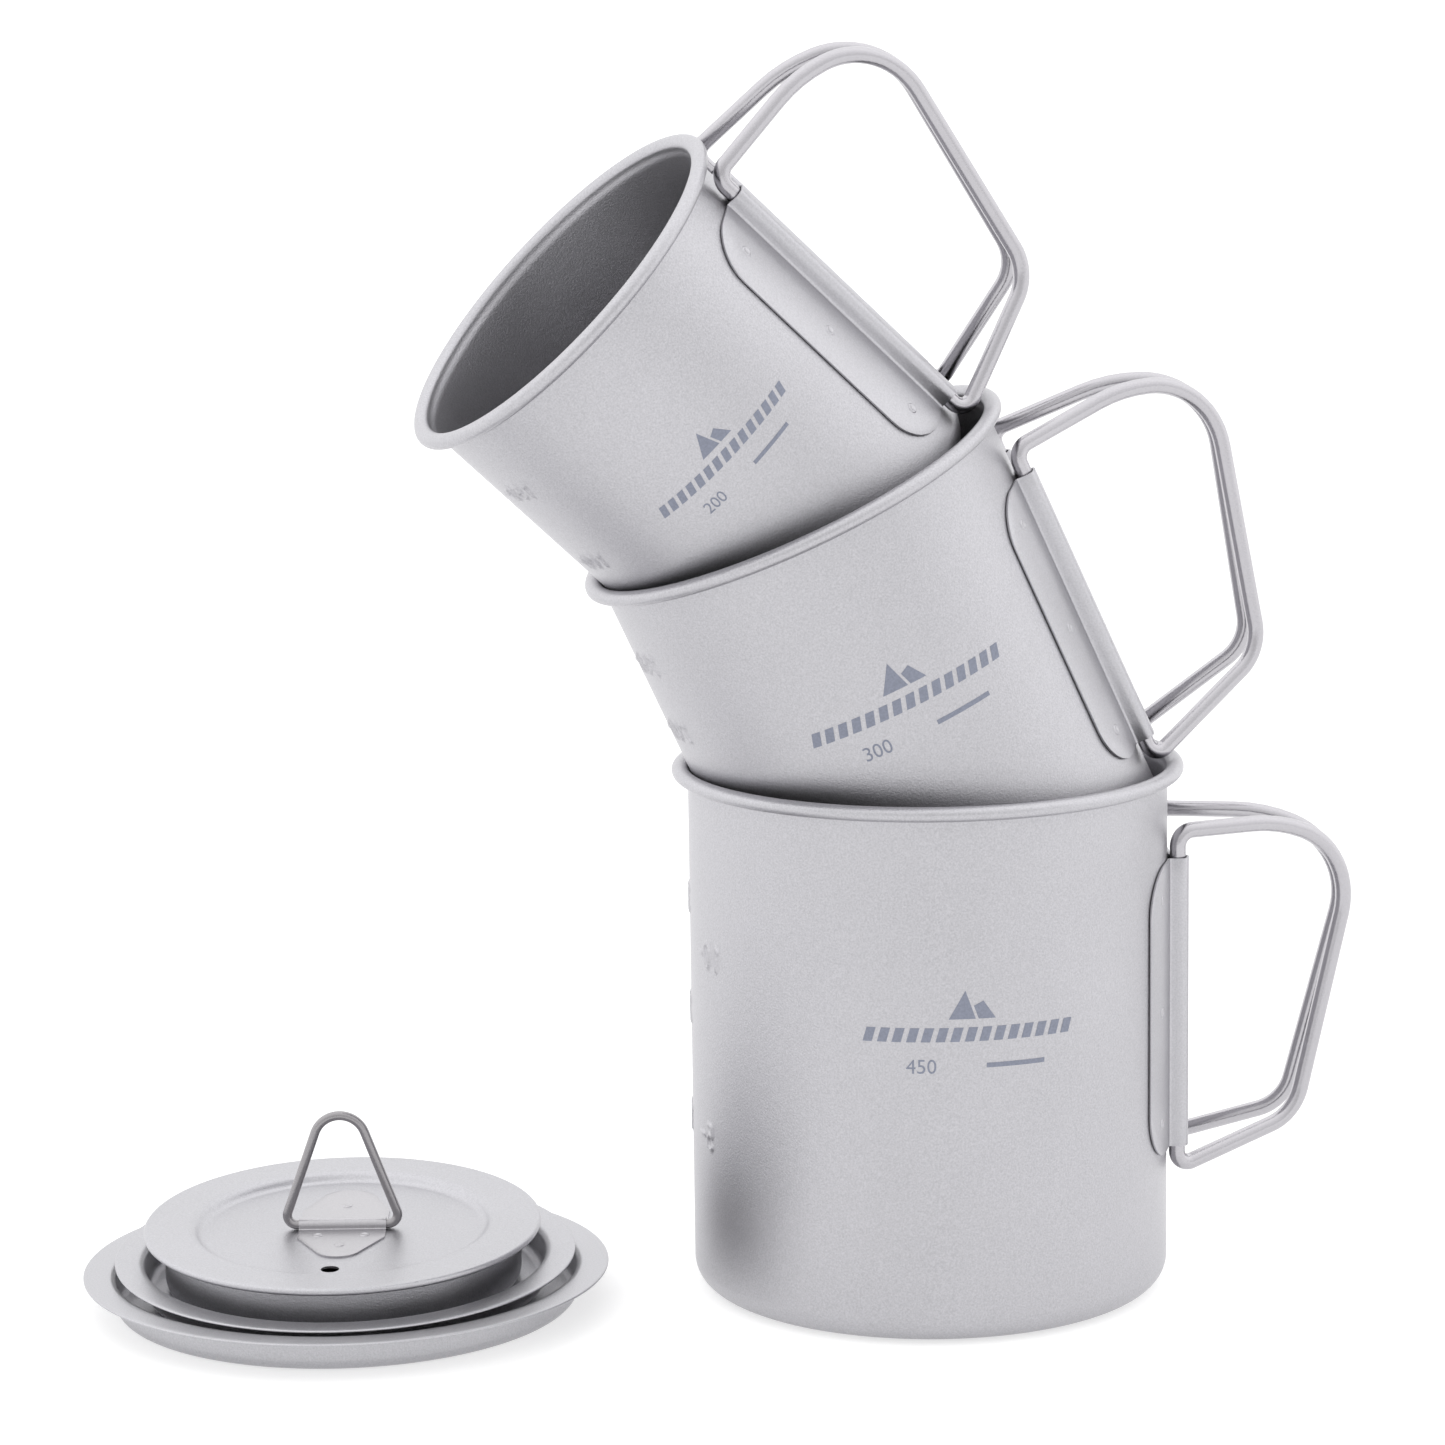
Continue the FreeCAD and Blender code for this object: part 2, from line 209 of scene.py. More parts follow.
def round_cap(point, heading, radius, steps=5):
    """Half circle over the end of a sheet, from its left side to its right side."""
    angles = np.radians(heading + 90 - 180 * np.arange(1, steps) / steps)
    return np.asarray(point) + radius * np.column_stack([np.cos(angles), np.sin(angles)])


def sheet_outline(x, z, heading, moves, thickness=SHEET):
    """Section of a sheet whose middle line is traced, its cut ends rounded over."""
    points, headings = trace(x, z, heading, moves)
    half = thickness / 2
    left = offset(points, headings, half)
    right = offset(points, headings, -half)
    end = round_cap(points[-1], headings[-1], half)
    if abs(x) < 1e-9:
        return np.vstack([left, end, right[::-1]]), False
    start = round_cap(points[0], headings[0] + 180, half)
    return np.vstack([left, end, right[::-1], start]), True


# --- meshes ------------------------------------------------------------------
def new_piece(name, vertices, faces, place, sharp=35):
    """Mesh object in the row frame from millimetres in the piece's own frame."""
    mesh = bpy.data.meshes.new(name)
    mesh.from_pydata([tuple(v) for v in np.asarray(vertices) * MM], [], faces)
    mesh.transform(place)
    mesh.validate()
    shape = bmesh.new()
    shape.from_mesh(mesh)
    bmesh.ops.recalc_face_normals(shape, faces=shape.faces)
    shape.to_mesh(mesh)
    shape.free()
    mesh.shade_smooth()
    mesh.set_sharp_from_angle(angle=math.radians(sharp))
    piece = bpy.data.objects.new(name, mesh)
    bpy.context.scene.collection.objects.link(piece)
    return piece


def even_angles(count=AROUND):
    return np.arange(count) * 360.0 / count


def spin(outline, closed, angles, relief=None):
    """Vertices and faces of an outline spun about Z. Points on the axis become poles."""
    vertices = []
    rings = []
    cosines = np.cos(np.radians(angles))
    sines = np.sin(np.radians(angles))
    for radius, height in outline:
        start = len(vertices)
        if radius < 1e-6:
            vertices.append((0.0, 0.0, height))
            rings.append([start] * len(angles))
            continue
        reach = np.full(len(angles), radius)
        if relief is not None:
            reach = reach + relief(angles, height)
        vertices.extend(zip(reach * cosines, reach * sines, [height] * len(angles)))
        rings.append(list(range(start, start + len(angles))))
    faces = []
    last = len(rings) if closed else len(rings) - 1
    for index in range(last):
        one = rings[index]
        two = rings[(index + 1) % len(rings)]
        for k in range(len(angles)):
            n = (k + 1) % len(angles)
            corners = [one[k], two[k], two[n], one[n]]
            faces.append(tuple(dict.fromkeys(corners)))
    return vertices, faces


def tube(path, radius, around=28):
    """Round wire along a flat path in the XZ plane, its ends domed."""
    path = np.asarray(path, float)
    ahead = np.roll(path, -1, axis=0) - path
    ahead[-1] = path[-1] - path[-2]
    back = path - np.roll(path, 1, axis=0)
    back[0] = ahead[0]
    ahead /= np.linalg.norm(ahead, axis=1)[:, None]
    back /= np.linalg.norm(back, axis=1)[:, None]
    along = ahead + back
    along /= np.linalg.norm(along, axis=1)[:, None]
    rings = []
    dome = [math.radians(a) for a in (0, 25, 50, 75)]
    for a in reversed(dome[1:]):
        rings.append((path[0] - along[0] * radius * 0.5 * math.sin(a), along[0], radius * math.cos(a)))
    for point, direction in zip(path, along):
        rings.append((point, direction, radius))
    for a in dome[1:]:
        rings.append((path[-1] + along[-1] * radius * 0.5 * math.sin(a), along[-1], radius * math.cos(a)))
    vertices = []
    turn = np.arange(around) * 2 * math.pi / around
    for centre, direction, size in rings:
        across = np.array([-direction[1], direction[0]])
        for angle in turn:
            flat = centre + across * size * math.cos(angle)
            vertices.append((flat[0], size * math.sin(angle), flat[1]))
    faces = []
    for i in range(len(rings) - 1):
        for k in range(around):
            n = (k + 1) % around
            faces.append((i * around + k, i * around + n, (i + 1) * around + n, (i + 1) * around + k))
    faces.append(tuple(range(around)))
    faces.append(tuple(reversed(range((len(rings) - 1) * around, len(rings) * around))))
    return vertices, faces


def rounded_path(corners, bends, gap):
    """Closed outline of straight runs and arcs that starts and ends gap apart on its last side."""
    corners = [np.array(c, float) for c in corners]
    leg = corners[0] - corners[-1]
    leg /= np.linalg.norm(leg)
    middle = (corners[0] + corners[-1]) / 2
    path = [middle + leg * gap / 2]
    count = len(corners)
    points = [path[0]] + corners + [middle - leg * gap / 2]
    for index in range(1, count + 1):
        here = points[index]
        back = points[index - 1] - here
        ahead = points[index + 1] - here
        back /= np.linalg.norm(back)
        ahead /= np.linalg.norm(ahead)
        half = math.acos(np.clip(back @ ahead, -1, 1)) / 2
        bend = bends[index - 1]
        reach = bend / math.tan(half)
        bisector = (back + ahead) / np.linalg.norm(back + ahead)
        centre = here + bisector * bend / math.sin(half)
        start = here + back * reach - centre
        turn = math.pi - 2 * half
        side = math.copysign(1.0, back[0] * ahead[1] - back[1] * ahead[0])
        steps = max(4, round(math.degrees(turn) / 6))
        for k in range(steps + 1):
            a = -side * turn * k / steps
            path.append(centre + np.array([start[0] * math.cos(a) - start[1] * math.sin(a),
                                           start[0] * math.sin(a) + start[1] * math.cos(a)]))
    path.append(points[-1])
    return path


def ribbon(points, headings, thickness, half_lengths, rows):
    """Sheet bent along a traced line in the XY plane and as long, in Z, as each station says."""
    left = offset(points, headings, thickness / 2)
    right = offset(points, headings, -thickness / 2)
    shares = np.linspace(-1, 1, rows)
    vertices = []
    for side in (left, right):
        for (x, y), half in zip(side, half_lengths):
            vertices.extend((x, y, half * share) for share in shares)
    stations = len(points)
    other = stations * rows
    faces = []
    for i in range(stations - 1):
        for j in range(rows - 1):
            a = i * rows + j
            b = (i + 1) * rows + j
            faces.append((a, a + 1, b + 1, b))
            faces.append((other + a, other + b, other + b + 1, other + a + 1))
        for j, flip in ((0, False), (rows - 1, True)):
            a = i * rows + j
            b = (i + 1) * rows + j
            face = (a, b, other + b, other + a)
            faces.append(tuple(reversed(face)) if flip else face)
    for i, flip in ((0, True), (stations - 1, False)):
        for j in range(rows - 1):
            a = i * rows + j
            face = (a, a + 1, other + a + 1, other + a)
            faces.append(tuple(reversed(face)) if flip else face)
    return vertices, faces


def join(*parts):
    """One list of vertices and faces from several."""
    vertices = []
    faces = []
    for more, loops in parts:
        start = len(vertices)
        vertices.extend(tuple(v) for v in more)
        faces.extend(tuple(start + k for k in loop) for loop in loops)
    return vertices, faces


def moved(part, matrix):
    """Vertices and faces carried over by a matrix."""
    vertices, faces = part
    return [tuple(matrix @ Vector(v)) for v in vertices], faces


def merge(piece, other):
    """Adds another piece's mesh to this one."""
    with bpy.context.temp_override(active_object=piece, selected_editable_objects=[piece, other]):
        bpy.ops.object.join()


def weld_mark():
    """Spot weld: a low ring round a shallow dimple, facing +Z."""
    section = [(share * WELD_RADIUS, height) for share, height in WELD_SECTION]
    return spin(section, False, even_angles(28))


def apply_modifiers(piece):
    """Replaces the piece's mesh with its evaluated one."""
    graph = bpy.context.evaluated_depsgraph_get()
    mesh = bpy.data.meshes.new_from_object(piece.evaluated_get(graph))
    piece.modifiers.clear()
    old = piece.data
    piece.data = mesh
    bpy.data.meshes.remove(old)
    mesh.name = piece.name


def break_edges(piece, sharp=40):
    """Small bevel along the cut edges of a sheet."""
    bevel = piece.modifiers.new("edges", "BEVEL")
    bevel.width = EDGE_BEVEL * MM
    bevel.segments = 2
    bevel.limit_method = "ANGLE"
    bevel.angle_limit = math.radians(50)
    apply_modifiers(piece)
    piece.data.shade_smooth()
    piece.data.set_sharp_from_angle(angle=math.radians(sharp))


def drill(piece, place, sharp=35):
    """Vent hole through a lid's floor."""
    matrix = place @ Matrix.Translation(Vector((VENT_PLACE[0], VENT_PLACE[1], 0)) * MM)
    section = [(0.0, -3.0), (VENT_RADIUS, -3.0), (VENT_RADIUS, 3.0), (0.0, 3.0)]
    cutter = new_piece("cutter", *spin(section, False, even_angles(48)), matrix)
    hole = piece.modifiers.new("vent", "BOOLEAN")
    hole.operation = "DIFFERENCE"
    hole.solver = "EXACT"
    hole.object = cutter
    apply_modifiers(piece)
    bpy.data.objects.remove(cutter)
    piece.data.shade_smooth()
    piece.data.set_sharp_from_angle(angle=math.radians(sharp))


# --- graduations -------------------------------------------------------------
def bow(cx, cz, rx, rz, first, last, steps=12):
    """Points along part of an ellipse."""
    angles = np.radians(np.linspace(first, last, steps))
    return list(zip(cx + rx * np.cos(angles), cz + rz * np.sin(angles)))


# strokes of each sign in a box 0.6 wide and 1 high
STROKES = {
    "0": [bow(0.30, 0.50, 0.25, 0.46, 0, 360, 24)],
    "1": [[(0.14, 0.80), (0.32, 0.96), (0.32, 0.04)]],
    "2": [bow(0.30, 0.71, 0.24, 0.25, 165, -35) + [(0.06, 0.04), (0.54, 0.04)]],
    "3": [bow(0.28, 0.73, 0.23, 0.23, 150, -90), bow(0.28, 0.27, 0.26, 0.23, 90, -150)],
    "5": [[(0.52, 0.96), (0.14, 0.96), (0.11, 0.56)] + bow(0.28, 0.32, 0.25, 0.28, 118, -145)],
    "-": [[(0.06, 0.5), (0.54, 0.5)]],
}

# per cup: sign height, and (text, azimuth of its middle, height) of each graduation
GRADUATIONS = {
    "large": (4.5, [("10-", -165.4, 61.1), ("5-", -167.6, 29.3), ("350-", 168.0, 68.1),
                    ("250-", 168.0, 48.8), ("150-", 168.0, 29.5)]),
    "medium": (3.6, [("250-", -170.5, 64.7), ("200-", -170.5, 51.9), ("100-", -170.5, 26.2)]),
    "small": (3.2, [("150-", -156.5, 51.2), ("100-", -158.0, 33.7), ("50-", -158.0, 17.2)]),
}


def graduation_lines(size, wall):
    """Line pieces, in millimetres of arc and height, of every sign pressed into a cup.
    They read from inside the cup, so outside they run towards smaller azimuths."""
    height, marks = GRADUATIONS[size]
    advance = 0.8 * height
    lines = []
    for text, azimuth, middle in marks:
        start = math.radians(azimuth) * wall + advance * len(text) / 2
        for index, sign in enumerate(text):
            for stroke in STROKES[sign]:
                spots = [(start - (index * advance + x * height), middle + (z - 0.5) * height)
                         for x, z in stroke]
                lines.extend(zip(spots[:-1], spots[1:]))
    return np.array(lines)


def press_relief(lines, wall):
    """Outward push of the wall at each angle of one height."""
    ends = lines.reshape(-1, 2)
    low = ends[:, 1].min() - RELIEF_WIDTH
    high = ends[:, 1].max() + RELIEF_WIDTH
    starts = lines[:, 0]
    runs = lines[:, 1] - lines[:, 0]
    lengths = np.maximum((runs ** 2).sum(1), 1e-9)

    def push(angles, height):
        if height < low or height > high:
            return np.zeros(len(angles))
        spots = np.column_stack([np.radians((angles + 180) % 360 - 180) * wall,
                                 np.full(len(angles), height)])
        wrapped = spots + np.array([2 * math.pi * wall, 0])
        nearest = np.full(len(angles), 99.0)
        for places in (spots, wrapped, spots - np.array([2 * math.pi * wall, 0])):
            away = places[:, None, :] - starts[None]
            share = np.clip((away * runs[None]).sum(2) / lengths, 0, 1)
            gap = away - share[..., None] * runs[None]
            nearest = np.minimum(nearest, np.sqrt((gap ** 2).sum(2)).min(1))
        return RELIEF_HEIGHT * (0.5 + 0.5 * np.cos(math.pi * np.minimum(nearest / RELIEF_WIDTH, 1)))

    return push


def cup_angles(size, wall):
    """Even steps round the cup, with fine ones where the graduations are."""
    height, marks = GRADUATIONS[size]
    fine = math.degrees(RELIEF_STEP / wall)
    step = 360.0 / AROUND
    angles = even_angles()
    busy = np.zeros(len(angles), bool)
    for text, azimuth, _ in marks:
        reach = math.degrees((0.4 * height * len(text) + 2 * RELIEF_WIDTH) / wall) + step / 2
        busy |= np.abs((angles + step / 2 - azimuth + 180) % 360 - 180) < reach
    extra = [a + k * fine for a in angles[busy] for k in range(1, int(step / fine) + 1)]
    return np.array(sorted(list(angles) + extra))


def wall_shares(size, low, high):
    """Shares of the straight wall's height: coarse, and fine where the graduations are."""
    height, marks = GRADUATIONS[size]
    heights = list(np.linspace(low, high, 24))
    for z in np.arange(low, high, RELIEF_STEP):
        if any(abs(z - middle) < height / 2 + 2 * RELIEF_WIDTH for _, _, middle in marks):
            heights.append(z)
    kept = [low]
    for z in sorted(heights):
        if z - kept[-1] > RELIEF_STEP * 0.6:
            kept.append(z)
    kept[-1] = high
    return [(z - low) / (high - low) for z in kept[1:]]


# --- pieces: cups ------------------------------------------------------------
def cup_place(cup):
    """Handle turn about the cup's axis, nod to the front, lean to the left."""
    turn = Matrix.Rotation(math.radians(cup["turn"]), 4, "Z")
    nod = Matrix.Rotation(math.radians(cup["nod"]), 4, "X")
    lean = Matrix.Rotation(math.radians(-cup["lean"]), 4, "Y")
    return Matrix.Translation(Vector(cup["base"]) * MM) @ lean @ nod @ turn


def channel_angle(cup):
    """Degrees from the handle's middle to each wire."""
    return math.degrees(CHANNEL_ARC / (cup["wall"] + SHEET / 2))


def cup_shell(size, cup):
    """Drawn cup: base, wall with its pressed graduations, and the rolled rim."""
    corner = BASE_CORNER - SHEET / 2
    wall = cup["wall"] - SHEET / 2
    flare = BEAD_STEP / (2 * (1 - math.cos(math.radians(FLARE_TURN))))
    flare_height = 2 * flare * math.sin(math.radians(FLARE_TURN))
    straight = cup["bead_z"] - SHEET / 2 - corner - flare_height
    low = SHEET / 2 + corner
    lines = graduation_lines(size, cup["wall"])
    shares = wall_shares(size, low, low + straight)
    moves = [(wall - corner, 8), (corner, 90, 12), (straight, shares), (flare, -FLARE_TURN, 4),
             (flare, FLARE_TURN, 4), (BEAD_SIDE, -45, 6), (BEAD_TOP, -90, 12), (BEAD_SIDE, -90, 10),
             (BEAD_TOP, -BEAD_CLOSE, 8)]
    outline, closed = sheet_outline(0, SHEET / 2, 0, moves)
    push = press_relief(lines, cup["wall"])
    top = low + straight

    def relief(angles, height):
        return push(angles, height) if low < height < top else np.zeros(len(angles))

    vertices, faces = spin(outline, closed, cup_angles(size, cup["wall"]), relief)
    piece = new_piece(size + "_cup_shell_skin", vertices, faces, cup_place(cup), 50)
    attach(piece, size + "_cup")
    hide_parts(size + "_cup_shell")
    return piece


def bracket_line(cup):
    """Middle line of the bracket's sheet round the cup, and the sheet's half height along it."""
    middle = cup["wall"] + FLANGE_GAP + SHEET / 2
    foot = CHANNEL_FOOT + SHEET / 2
    bend = CHANNEL_CORNER - SHEET / 2
    side = WIRE_RADIUS + WIRE_CLEARANCE + SHEET / 2
    top = cup["wall"] + WIRE_TO_WALL + WIRE_RADIUS + side
    foot_height = math.sqrt((middle + foot) ** 2 - (side + foot) ** 2)
    half_foot = math.degrees(math.atan2(side + foot, foot_height))
    rise = top - bend - foot_height
    flange = math.degrees(FLANGE_ARC / middle)
    rounded = math.degrees(FLANGE_CORNER / middle)
    plain = flange - channel_angle(cup) - half_foot - rounded
    corner_shares = [1 - math.cos(math.radians(9 * k)) for k in range(1, 11)]
    channel = [(foot, half_foot - 90, 5), (rise, 2), (bend, 90, 7), (2 * (side - bend), 1),
               (bend, 90, 7), (rise, 2), (foot, half_foot - 90, 5)]
    moves = [(middle, rounded, corner_shares), (middle, plain, 5)] + channel
    moves += [(middle, 2 * (channel_angle(cup) - half_foot), 6)] + channel
    end_shares = [1 - share for share in reversed([0.0] + corner_shares[:-1])]
    moves += [(middle, plain, 5), (middle, rounded, end_shares)]
    start = math.radians(-flange)
    points, headings = trace(middle * math.cos(start), middle * math.sin(start), 90 - flange, moves)
    halves = np.full(len(points), BRACKET_HEIGHT / 2)
    for index in range(11):
        inset = FLANGE_CORNER * math.cos(math.radians(9 * index))
        halves[index] -= FLANGE_CORNER - math.sqrt(FLANGE_CORNER ** 2 - inset ** 2)
        halves[-1 - index] = halves[index]
    return points, headings, halves


def flange_welds(cup):
    """Three spot welds down each flange."""
    marks = []
    outside = cup["wall"] + FLANGE_GAP + SHEET
    for side in (-1, 1):
        angle = side * FLANGE_WELD_ARC / (cup["wall"] + SHEET / 2)
        for height in FLANGE_WELD_HEIGHTS:
            stand = Matrix.Rotation(angle, 4, "Z") @ Matrix.Translation((outside, 0, height))
            marks.append(moved(weld_mark(), stand @ Matrix.Rotation(math.radians(90), 4, "Y")))
    return join(*marks)


def cup_bracket(size, cup):
    """Handle bracket: one sheet folded into two channels, with its spot welds."""
    points, headings, halves = bracket_line(cup)
    place = cup_place(cup) @ Matrix.Translation((0, 0, cup["bracket_z"] * MM))
    piece = new_piece(size + "_cup_bracket_sheet", *ribbon(points, headings, SHEET, halves, 13), place)
    break_edges(piece)
    welds = new_piece(size + "_welds", *flange_welds(cup), place, 60)
    merge(piece, welds)
    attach(piece, size + "_cup")
    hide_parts(size + "_cup_bracket")
    return piece


def cup_wire(size, cup, side, word):
    """Handle loop hinged in the channel at one side, swung in to the handle's middle."""
    outer = [(cup["grip"] + x, z) for x, z in GRIP_CORNERS]
    path = rounded_path([LEG_CORNERS[0]] + outer + [LEG_CORNERS[1]], HANDLE_BENDS, WIRE_END_GAP)
    angle = math.radians(channel_angle(cup))
    reach = cup["wall"] + WIRE_TO_WALL + WIRE_RADIUS
    pivot = Vector((reach * math.cos(angle), side * reach * math.sin(angle), cup["bracket_z"]))
    swing = math.asin((abs(pivot.y) - GRIP_OFFSET) / cup["grip"])
    place = cup_place(cup) @ Matrix.Translation(pivot * MM) @ Matrix.Rotation(-side * swing, 4, "Z")
    piece = new_piece(f"{size}_cup_{word}_loop", *tube(path, WIRE_RADIUS), place, 60)
    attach(piece, f"{size}_{word}_wire")
    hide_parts(f"{size}_cup_{word}_wire")
    return piece


# --- pieces: lids ------------------------------------------------------------
def lid_place(shift, nod):
    """Where a lid stands in the stack, nodded to the front."""
    return Matrix.Translation((Vector(LID_PLACE) + Vector(shift)) * MM) @ Matrix.Rotation(
        math.radians(nod), 4, "X")


def lid_pan(size, lid):
    """Drawn pan: floor, wall and a flat flange that rests on the cup's rim."""
    wall = lid["body"] - SHEET / 2
    rise = lid["height"] - SHEET - PAN_CORNER - PAN_BEND
    moves = [(wall - PAN_CORNER, 10), (PAN_CORNER, 90, 10), (rise, 3), (PAN_BEND, -90, 8),
             (lid["outer"] - wall - PAN_BEND, 5)]
    outline, closed = sheet_outline(0, SHEET / 2, 0, moves)
    place = lid_place(lid["shift"], lid["nod"])
    piece = new_piece(size + "_lid_pan_skin", *spin(outline, closed, even_angles()), place, 50)
    drill(piece, place, 50)
    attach(piece, size + "_lid")
    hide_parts(size + "_lid_pan")
    return piece


def plug_disc():
    """Top of the small lid: sunk centre, flat border, edge hemmed under."""
    half_turn = 2 * math.atan2(RECESS_DEPTH, RECESS_RAMP)
    ramp = RECESS_RAMP / (2 * math.sin(half_turn))
    turn = math.degrees(half_turn)
    border = RECESS_RADIUS + RECESS_RAMP / 2
    edge = PLUG_OUTER - SHEET / 2 - HEM_RADIUS
    moves = [(RECESS_RADIUS - RECESS_RAMP / 2, 8), (ramp, turn, 8), (ramp, -turn, 8),
             (edge - border, 4), (HEM_RADIUS, -180, 12), (HEM_RETURN, 2)]
    outline, closed = sheet_outline(0, -RECESS_DEPTH - SHEET / 2, 0, moves)
    place = lid_place(PLUG_PLACE, PLUG_NOD)
    piece = new_piece("small_lid_disc_skin", *spin(outline, closed, even_angles()), place, 50)
    drill(piece, place, 50)
    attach(piece, "small_lid")
    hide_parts("small_lid_disc")
    return piece


def plug_skirt():
    """Drawn ring under the disc: flange held in the hem, wall, and a lip turned inward."""
    wall = PLUG_BODY - SHEET / 2
    edge = PLUG_OUTER - SHEET / 2 - HEM_RADIUS
    drop = PLUG_DEPTH - SHEET - SHEET - SKIRT_BEND - SKIRT_CORNER
    moves = [(edge - wall - SKIRT_BEND, 3), (SKIRT_BEND, 90, 8), (drop, 4), (SKIRT_CORNER, -90, 10),
             (SKIRT_LIP, 2)]
    outline, closed = sheet_outline(edge, -1.5 * SHEET, 180, moves)
    place = lid_place(PLUG_PLACE, PLUG_NOD)
    piece = new_piece("small_lid_skirt_skin", *spin(outline, closed, even_angles()), place, 50)
    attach(piece, "small_lid")
    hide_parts("small_lid_skirt")
    return piece


def plate_outline(plate):
    """Distances from the ring's wire out to a strap plate's tip, with the half width at each."""
    half = STRAP_WIDTH / 2
    shoulder, corner, rounding = plate
    slope = math.atan2(half, corner - shoulder)
    centre = corner - rounding / math.sin(slope)
    spots = [(y, half) for y in (3.0, shoulder)]
    tangent = centre + rounding * math.sin(slope)
    spots += [(y, (corner - y) * math.tan(slope)) for y in np.linspace(shoulder, tangent, 6)[1:]]
    for angle in np.radians(np.linspace(math.degrees(slope), 86, 9)[1:]):
        spots.append((centre + rounding * math.sin(angle), rounding * math.cos(angle)))
    return spots


def strap_line(rear_plate):
    """Middle line of the strap in the YZ plane, as (y, z), and its half width along it."""
    tube_radius = RING_WIRE + RING_CLEARANCE + STRAP_SHEET / 2
    foot = tube_radius + STRAP_FOOT
    rise = RING_WIRE + RING_CLEARANCE - STRAP_SHEET / 2 - STRAP_FOOT
    front = plate_outline(PLATE)
    rear = plate_outline(rear_plate)
    front_tip = front[-1][0]
    rear_tip = rear[-1][0]
    come = [(front_tip - y) / (front_tip - foot) for y, _ in reversed(front[:-1])] + [1.0]
    leave = [(y - foot) / (rear_tip - foot) for y, _ in rear]
    moves = [(front_tip - foot, come), (STRAP_FOOT, 90, 5), (rise, 1), (tube_radius, -180, 16),
             (rise, 1), (STRAP_FOOT, 90, 5), (rear_tip - foot, leave)]
    points, headings = trace(-front_tip, STRAP_SHEET / 2, 0, moves)
    halves = np.full(len(points), STRAP_WIDTH / 2)
    halves[:len(front)] = [width for _, width in reversed(front)]
    halves[-len(rear):] = [width for _, width in rear]
    return points, headings, halves


def lid_strap(size, place, rear_plate=PLATE, rear_welds=PLATE_WELDS):
    """Strap over the ring's wire, with its spot welds."""
    points, headings, halves = strap_line(rear_plate)
    vertices, faces = ribbon(points, headings, STRAP_SHEET, halves, 9)
    vertices = [(along, y, z) for y, z, along in vertices]
    piece = new_piece(size + "_lid_strap_sheet", vertices, faces, place)
    break_edges(piece)
    spots = [(x, -y) for x, y in PLATE_WELDS] + rear_welds
    marks = [moved(weld_mark(), Matrix.Translation((x, y, STRAP_SHEET))) for x, y in spots]
    merge(piece, new_piece(size + "_strap_welds", *join(*marks), place, 60))
    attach(piece, size + "_lid")
    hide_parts(size + "_lid_strap")
    return piece


def lid_ring(size, place, fold):
    """Triangular wire ring hinged in the strap, folded back by the angle from upright."""
    path = rounded_path(RING_CORNERS, RING_BENDS, RING_END_GAP)
    hinge = place @ Matrix.Translation((0, 0, (RING_WIRE + RING_CLEARANCE) * MM))
    folded = hinge @ Matrix.Rotation(math.radians(-fold), 4, "X")
    piece = new_piece(size + "_lid_ring_wire", *tube(path, RING_WIRE, 24), folded, 60)
    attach(piece, size + "_ring")
    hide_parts(size + "_lid_ring")
    return piece


# --- printed mark ------------------------------------------------------------
def number_shape(text, height):
    """Flat faces of a number, its left end at x = 0, from the built-in sans face."""
    curve = bpy.data.curves.new("number", "FONT")
    curve.body = text
    curve.size = height / 0.7
    curve.resolution_u = 4
    letters = bpy.data.objects.new("number", curve)
    bpy.context.scene.collection.objects.link(letters)
    bpy.context.view_layer.update()
    graph = bpy.context.evaluated_depsgraph_get()
    mesh = bpy.data.meshes.new_from_object(letters.evaluated_get(graph))
    vertices = [(v.co.x, v.co.y) for v in mesh.vertices]
    faces = [tuple(p.vertices) for p in mesh.polygons]
    bpy.data.objects.remove(letters)
    bpy.data.meshes.remove(mesh)
    return vertices, faces


def slanted_bar(x, y, width, height, lean):
    """Flat face of a bar whose top is shifted by the lean."""
    corners = [(x, y), (x + width, y), (x + width + lean, y + height), (x + lean, y + height)]
    return corners, [(0, 1, 2, 3)]


def print_shapes(text):
    """The mark's flat shapes: two peaks, a row of slanted bars, a number and a short bar."""
    shapes = [(peak, [tuple(range(len(peak)))]) for peak in PEAKS]
    left, foot = BAR_START
    shapes += [slanted_bar(left + BAR_PITCH * k, foot, *BAR_SIZE) for k in range(BARS)]
    numbers, faces = number_shape(text, NUMBER_HEIGHT)
    shapes.append(([(x + NUMBER_PLACE[0], y + NUMBER_PLACE[1]) for x, y in numbers], faces))
    shapes.append(slanted_bar(*SHORT_BAR))
    return shapes


def print_mark(size, cup):
    """Generic mark printed on the cup's front, cut in narrow strips so that it follows the wall."""
    scale, middle, text = PRINTS[size]
    reach = cup["wall"] + PRINT_LIFT
    flat = bmesh.new()
    for points, loops in print_shapes(text):
        corners = [flat.verts.new((x, y, 0)) for x, y in points]
        for loop in loops:
            flat.faces.new([corners[k] for k in loop])
    for x in np.arange(-19, 19, 0.5):
        everything = flat.verts[:] + flat.edges[:] + flat.faces[:]
        bmesh.ops.bisect_plane(flat, geom=everything, plane_co=(x, 0, 0), plane_no=(1, 0, 0))
    flat.verts.index_update()
    vertices = []
    for corner in flat.verts:
        angle = math.radians(PRINT_AZIMUTH) + scale * corner.co.x / cup["wall"]
        vertices.append((reach * math.cos(angle), reach * math.sin(angle),
                         middle + scale * corner.co.y))
    faces = [tuple(corner.index for corner in face.verts) for face in flat.faces]
    flat.free()
    piece = new_piece(size + "_cup_print", vertices, faces, cup_place(cup))
    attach(piece, size + "_cup")
    return piece


# --- materials ---------------------------------------------------------------
def link(tree, source, target):
    tree.links.new(source, target)


